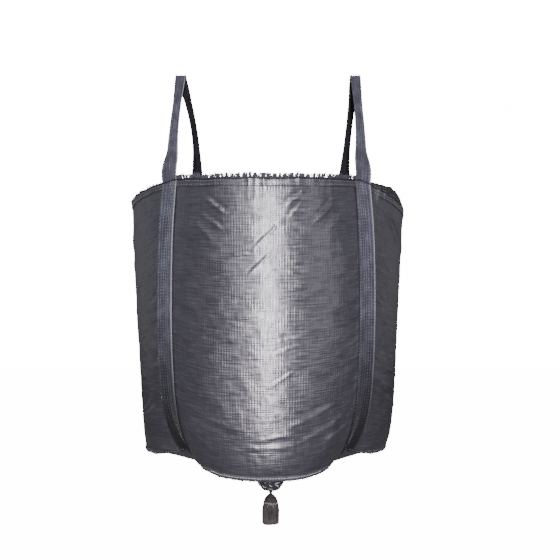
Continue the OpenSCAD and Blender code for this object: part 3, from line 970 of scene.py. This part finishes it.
def sewn_rows():
    """Rows of the sewn-down part up the front right corner: half on each panel, soft in the fold."""
    u = np.linspace(-1, 1, COLUMNS)
    t = np.linspace(0.004, 1, 150)[:, None]
    a = 1 - np.abs(u)[None, :] * (1 - STRAP_EDGE)
    points = np.where((u > 0)[None, :, None], wall(1, -a, t, WEB_OUT), wall(0, a, t, WEB_OUT))
    points = softened(points.swapaxes(0, 1), 10).swapaxes(0, 1)
    wander = 0.0012 * noise(t[:, 0] * 14, t[:, 0] * 3, 151)[:, None, None] * np.array([1, 1, 0])
    return points + wander


def free_rows(rim_row, folded, bow):
    """Rows from the rim to the middle of the bend over the hook, folded lengthways and bowed in."""
    u = np.linspace(-1, 1, COLUMNS)
    lean = math.atan2(ROOT_XY, SEAT_Z - FOLD_Z)
    top_y, top_z = SEAT_R * math.cos(lean), SEAT_Z - SEAT_R + SEAT_R * math.sin(lean)
    corner = rim_row[COLUMNS // 2]
    knots = np.array([corner, (ROOT_XY, -ROOT_XY, FOLD_Z), (SEAT_X, -top_y, top_z)])
    leg = np.concatenate([np.linspace(knots[0], knots[1], 12)[1:], np.linspace(knots[1], knots[2], 90)[1:]])
    leg = softened(leg, 6)
    f = np.linspace(lean, math.pi / 2, 14)[1:]
    bend_z = SEAT_Z - SEAT_R + SEAT_R * np.sin(f)
    bend = np.stack([np.full_like(f, SEAT_X), -SEAT_R * np.cos(f), bend_z], -1)
    path = np.concatenate([[corner], leg, bend])
    share = np.clip((path[:, 2] - RIM_Z) / (top_z - RIM_Z), 0, 1)
    path[:, 0] -= bow[0] * np.sin(math.pi * share ** bow[1])
    turn = math.pi / 4 * (1 - share)
    width = np.stack([np.cos(turn), np.sin(turn), 0 * turn], -1)
    normal = unit(np.cross(width, unit(np.gradient(path, axis=0))))
    half = (HOOK_W + (WEB_W - HOOK_W) * (1 - share) ** 3) / 2
    flat = smooth((path[:, 2] - RIM_Z) / 0.16)[:, None]
    rim_w = (rim_row - corner) @ width[0]
    rim_n = (rim_row - corner) @ normal[0]
    gather = 0.0012 * np.cos(2.5 * math.pi * u)[None, :] * (share**3)[:, None]
    fold_angle = softened(np.radians(np.interp(share, *folded)), 12)
    round_fold = np.sqrt(u * u + 0.02)
    cup = (half * np.sin(fold_angle))[:, None] * (round_fold - round_fold.mean())[None, :]
    across = (1 - flat) * rim_w[None, :] + flat * u[None, :] * (half * np.cos(fold_angle))[:, None]
    out = (1 - flat) * rim_n[None, :] + flat * (gather - cup)
    return path[:, None] + across[..., None] * width[:, None] + out[..., None] * normal[:, None]


def webbing(right):
    """The whole length as one closed mesh. It bends at the rim, where the loop folds."""
    side = "right" if right else "left"
    sewn = sewn_rows()
    front = np.concatenate([sewn, free_rows(sewn[-1], FRONT_LEG_FOLD, FRONT_BOW)[1:]])
    rear_bow = RIGHT_REAR_BOW if right else LEFT_REAR_BOW
    rear = np.concatenate([sewn, free_rows(sewn[-1], REAR_LEG_FOLD, rear_bow)[1:]])
    middle = np.concatenate([front, (rear * [1, -1, 1])[-2::-1]])
    normal = unit(np.cross(np.gradient(middle, axis=1), np.gradient(middle, axis=0)))
    # Thinner along its middle fold and beside the outer rows of stitches, with rolled selvedges
    u = np.linspace(-1, 1, COLUMNS)
    swell = 1 - 0.6 * np.exp(-((u / 0.06) ** 2)) + 0.30 * np.exp(-(((np.abs(u) - 0.93) / 0.05) ** 2))
    swell = swell - 0.25 * np.exp(-(((np.abs(u) - 0.52) / 0.05) ** 2))
    outer = middle + normal * (WEB_T / 2 * swell)[None, :, None]
    inner = middle - normal * WEB_T / 2
    ring = np.concatenate([outer, inner[:, ::-1]], axis=1)
    if not right:
        ring = (ring * [-1, 1, 1])[:, ::-1]
    rows, columns = ring.shape[:2]
    length = reach_along(middle[:, COLUMNS // 2])
    to_end = np.minimum(length, length[-1] - length)
    u_ring = np.concatenate([u, u[::-1]]) * WEB_W / 2
    if not right:
        u_ring = -u_ring[::-1]
    uvs = pairs(u_ring[None, :], to_end[:, None])
    faces = [list(q) for q in grid_faces(rows, columns, ring=True)]
    ends = [[j, j + 1, columns - 2 - j, columns - 1 - j] for j in range(COLUMNS - 1)]
    faces += [q[::-1] for q in ends] + [[(rows - 1) * columns + i for i in q] for q in ends]
    made = mesh_object(side + "_webbing", ring.reshape(-1, 3), faces, uvs.reshape(-1, 2), WEBBING)
    made.data.materials.append(WEBBING_PAINTED_SHADE)
    made.data.polygons.foreach_set("material_index", inner_faces(made, middle, right))
    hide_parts(side + "_loop", f"front_{side}_strap", f"rear_{side}_strap")
    sign = 1 if right else -1
    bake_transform(made)
    lines = []
    for spot in STITCH_ROWS:
        j = round((spot + 1) / 2 * (COLUMNS - 1))
        line = (middle + normal * (WEB_T / 2 + 0.0006))[:len(sewn), j]
        lines += [line * [sign, 1, 1], line * [sign, -1, 1]]
    stitch_rows(side + "_strap_stitches", lines, STRAP_THREAD, STRAP_STITCH)


def inner_faces(made, middle, right):
    """1 for each face on the inner side of the webbing above the rim, which gets a near-black material as
    painted shade, else 0.
    """
    marks = [0] * len(made.data.polygons)
    for i in np.flatnonzero(middle[:-1, COLUMNS // 2, 2] >= RIM_Z - 0.02):
        first = (2 * i + right) * COLUMNS
        marks[first:first + COLUMNS - 1] = [1] * (COLUMNS - 1)
    return marks


# ---- Outlet closure and discharge spout ----


def resample(line, count):
    """The same outline with evenly spaced points and softened corners."""
    line = np.asarray(line, float)
    reach = reach_along(line)
    at = np.linspace(0, reach[-1], count)
    return softened(np.stack([np.interp(at, reach, line[:, i]) for i in range(2)], -1), 2)


def pleated(name, line, depth, pleats, seed, columns=288, twist=0.0, flatten=1.0, thick=0.0, cloth=SPOUT):
    """Fabric gathered about +Z: line is (radius, height) down it, depth the pleats' depth at each point."""
    turn = np.arange(columns)[None, :] * 2 * math.pi / columns
    height, depth = line[:, 1:], depth[:, None]
    y = (height - line[0, 1]) * 30
    wander = turn + twist * (height - line[0, 1]) + 0.10 * ring_noise(turn, 9, y * 0.6, seed)
    sharp = 1 - 2 * np.abs(ring_noise(wander, 2 * pleats, y * 0.25, seed + 1)) ** 0.7
    fine = ring_noise(wander, 6 * pleats, y * 0.8, seed + 2)
    radius = np.maximum(line[:, :1] + depth * (0.75 * sharp + 0.25 * fine), 0.0008)
    z = height + depth * 0.35 * ring_noise(turn, 11, y, seed + 3)
    points = np.stack([radius * np.cos(turn), radius * np.sin(turn) * flatten, z], -1)
    return grid_object(name, points[::-1], ring=True, thick=thick, material=cloth)


# The sleeve's outline, radius and height, going down past the groove where its cord is drawn tight
GROOVE_Z = -0.091
SLEEVE_LINE = [
    (0.183, -0.006), (0.140, -0.010), (0.098, -0.018), (0.075, -0.027), (0.062, -0.037),
    (0.057, -0.050), (0.055, -0.066), (0.052, -0.078), (0.048, -0.086), (0.0430, GROOVE_Z),
    (0.0435, -0.096), (0.037, -0.102), (0.027, -0.106), (0.018, -0.103)
]
# The pleats' depth down the sleeve: distances below the outlet, then depths
SLEEVE_PLEATS = ([0.006, 0.020, 0.050, 0.085, 0.091, 0.110], [0.0005, 0.003, 0.006, 0.004, 0.0025, 0.0035])
# The cord's turns in the sleeve: radius, height and how often it passes in and out
CORD_TURNS = [(0.0505, -0.078, 11), (0.0535, -0.064, 7)]
# The outlet hangs a little to the right of the middle, fully so from this far below the base
HANGS, HANGS_FULLY = 0.012, 0.06


def hung_over(made):
    """Moves a piece under the outlet across by HANGS, less and less towards the base."""
    for vert in made.data.vertices:
        vert.co.x += HANGS * float(smooth(-vert.co.z / HANGS_FULLY))
    made.data.update()
    return made


def closure():
    """The sleeve round the outlet, gathered in by its draw cord."""
    line = resample(SLEEVE_LINE, 64)
    depth = np.interp(-line[:, 1], *SLEEVE_PLEATS)
    made = hung_over(pleated("closure_sleeve_fabric", line, depth, 19, 160, thick=0.0009, cloth=SLEEVE))
    belongs(made, "closure_sleeve")
    # The draw cord passes in and out of the hem twice round, so that it shows as pale dots
    turn = np.linspace(0, 2 * math.pi, 481)[:-1]
    parts = []
    for i, (middle, level, waves) in enumerate(CORD_TURNS):
        reach = middle + 0.0075 * np.sin(turn * waves + 2 * i)
        height = level + 0.003 * np.sin(turn * 4 + 1 + i) + 0.004 * np.cos(turn * waves)
        path = np.stack([reach * np.cos(turn), reach * np.sin(turn), height], -1)
        parts.append(tube(f"closure_cord_turn_{i}", path, 0.0026, True, PALE_THREAD))
    wound = 0.0412 + 0.0010 * np.sin(turn * 7)
    path = np.stack([wound * np.cos(turn), wound * np.sin(turn), GROOVE_Z + 0.001 * np.sin(turn * 3)], -1)
    parts.append(tube("closure_cord_wound", path, 0.0022, True, TIE_CORD))
    parts += knot("closure_cord_knot", -0.043, GROOVE_Z, 0.0014, 170)
    belongs(hung_over(joined("closure_cord_line", parts)), "closure_cord")


def knot(name, front_y, z, radius, seed):
    """A reef knot seen from the front, with two short ends hanging."""
    rng = np.random.default_rng(seed)
    f = np.linspace(0, 2 * math.pi, 49)[:-1]
    lobe = np.stack([0.0055 * np.cos(f) + 0.0030, -0.0022 * np.sin(2 * f), 0.0042 * np.sin(f)], -1)
    parts = []
    for i, flip in enumerate((1, -1)):
        path = lobe * [flip, 1, 1] + [0, front_y - 0.003, z]
        parts.append(tube(f"{name}_{i}", path, radius, True, TIE_CORD))
    share = np.linspace(0, 1, 16)[:, None]
    for i, flip in enumerate((1, -1)):
        start = np.array([flip * 0.004, front_y - 0.004, z])
        fall = np.array([flip * (0.008 + rng.uniform(0, 0.004)), -0.002, -0.012 - rng.uniform(0, 0.008)])
        sway = np.sin(share * math.pi) * np.array([flip * 0.003, -0.003, 0.002])
        path = start + fall * share + sway
        parts.append(tube(f"{name}_end_{i}", path, radius * 0.95, False, TIE_CORD))
    return parts


NECK_PIVOT_Z = -0.094
BUNDLE_PIVOT_Z = -0.125
TIE_Z = -0.158
FOOT_Z = BUNDLE_PIVOT_Z - 0.135
# Outlines of the neck and of the bundle, whose foot is hollow: radius and height, going down
NECK_LINE = [
    (0.012, NECK_PIVOT_Z + 0.012), (0.013, NECK_PIVOT_Z), (0.009, NECK_PIVOT_Z - 0.012),
    (0.007, BUNDLE_PIVOT_Z + 0.006), (0.006, BUNDLE_PIVOT_Z - 0.002)
]
BUNDLE_LINE = [
    (0.004, BUNDLE_PIVOT_Z + 0.005), (0.011, BUNDLE_PIVOT_Z - 0.001), (0.019, BUNDLE_PIVOT_Z - 0.008),
    (0.0255, TIE_Z + 0.017), (0.0295, TIE_Z + 0.007), (0.0325, TIE_Z - 0.004), (0.0350, TIE_Z - 0.018),
    (0.0365, FOOT_Z + 0.060), (0.0366, FOOT_Z + 0.006), (0.0345, FOOT_Z), (0.029, FOOT_Z + 0.005),
    (0.016, FOOT_Z + 0.026), (0.002, FOOT_Z + 0.030)
]
BUNDLE_ROWS = 96
TIE_TURNS = 2
# The pleats' depth down the bundle: rows, then depths
BUNDLE_PLEATS = ([0, 16, 28, 36, 70, 84, 95], [0.0004, 0.0010, 0.0016, 0.0036, 0.0040, 0.0030, 0.0005])


def spout():
    """The neck, the bundled spout and the cord that ties it."""
    neck = pleated("spout_neck_fabric", resample(NECK_LINE, 30), np.full(30, 0.0016), 7, 180, 96, 18)
    depth = np.interp(np.arange(BUNDLE_ROWS), *BUNDLE_PLEATS)
    line = resample(BUNDLE_LINE, BUNDLE_ROWS)
    bundle = pleated("spout_bundle_fabric", line, depth, 15, 190, 288, 1.5, 0.86)
    for made, columns, node in ((neck, 96, "spout_neck"), (bundle, 288, "spout_bundle")):
        closed_ends(hung_over(made), columns)
        belongs(made, node, node)
    turn = np.linspace(0, TIE_TURNS * 2 * math.pi, 260 * TIE_TURNS)
    zigzag = 0.0022 * np.abs(np.mod(turn * 11 / math.pi, 2) - 1)
    height = TIE_Z - 0.009 + 0.0034 * turn / (2 * math.pi) + zigzag
    path = np.stack([0.0318 * np.cos(turn - 1.6), 0.0312 * np.sin(turn - 1.6), height], -1)
    parts = [tube("spout_tie_turns", path, 0.0017, False, TIE_CORD)]
    parts += knot("spout_tie_knot", -0.0300, TIE_Z - 0.005, 0.0014, 171)
    belongs(hung_over(joined("spout_tie_line", parts)), "spout_tie", "spout_bundle")


def closed_ends(made, columns):
    """Closes the first and last ring of a pleated piece with a flat face."""
    mesh = made.data
    count = len(mesh.vertices)
    verts = [tuple(v.co) for v in mesh.vertices]
    faces = [tuple(p.vertices) for p in mesh.polygons]
    faces += [tuple(range(columns))[::-1], tuple(range(count - columns, count))]
    mesh.clear_geometry()
    mesh.from_pydata(verts, [], faces)
    mesh.polygons.foreach_set("use_smooth", [True] * len(mesh.polygons))
    mesh.update()


camera()
stage()
for number in range(4):
    side_panel(number)
    rim_hem(number)
    base_seam(number)
    corner_seam(number)
base()
rim_binding()
top_skirt()
webbing(right=True)
webbing(right=False)
closure()
spout()
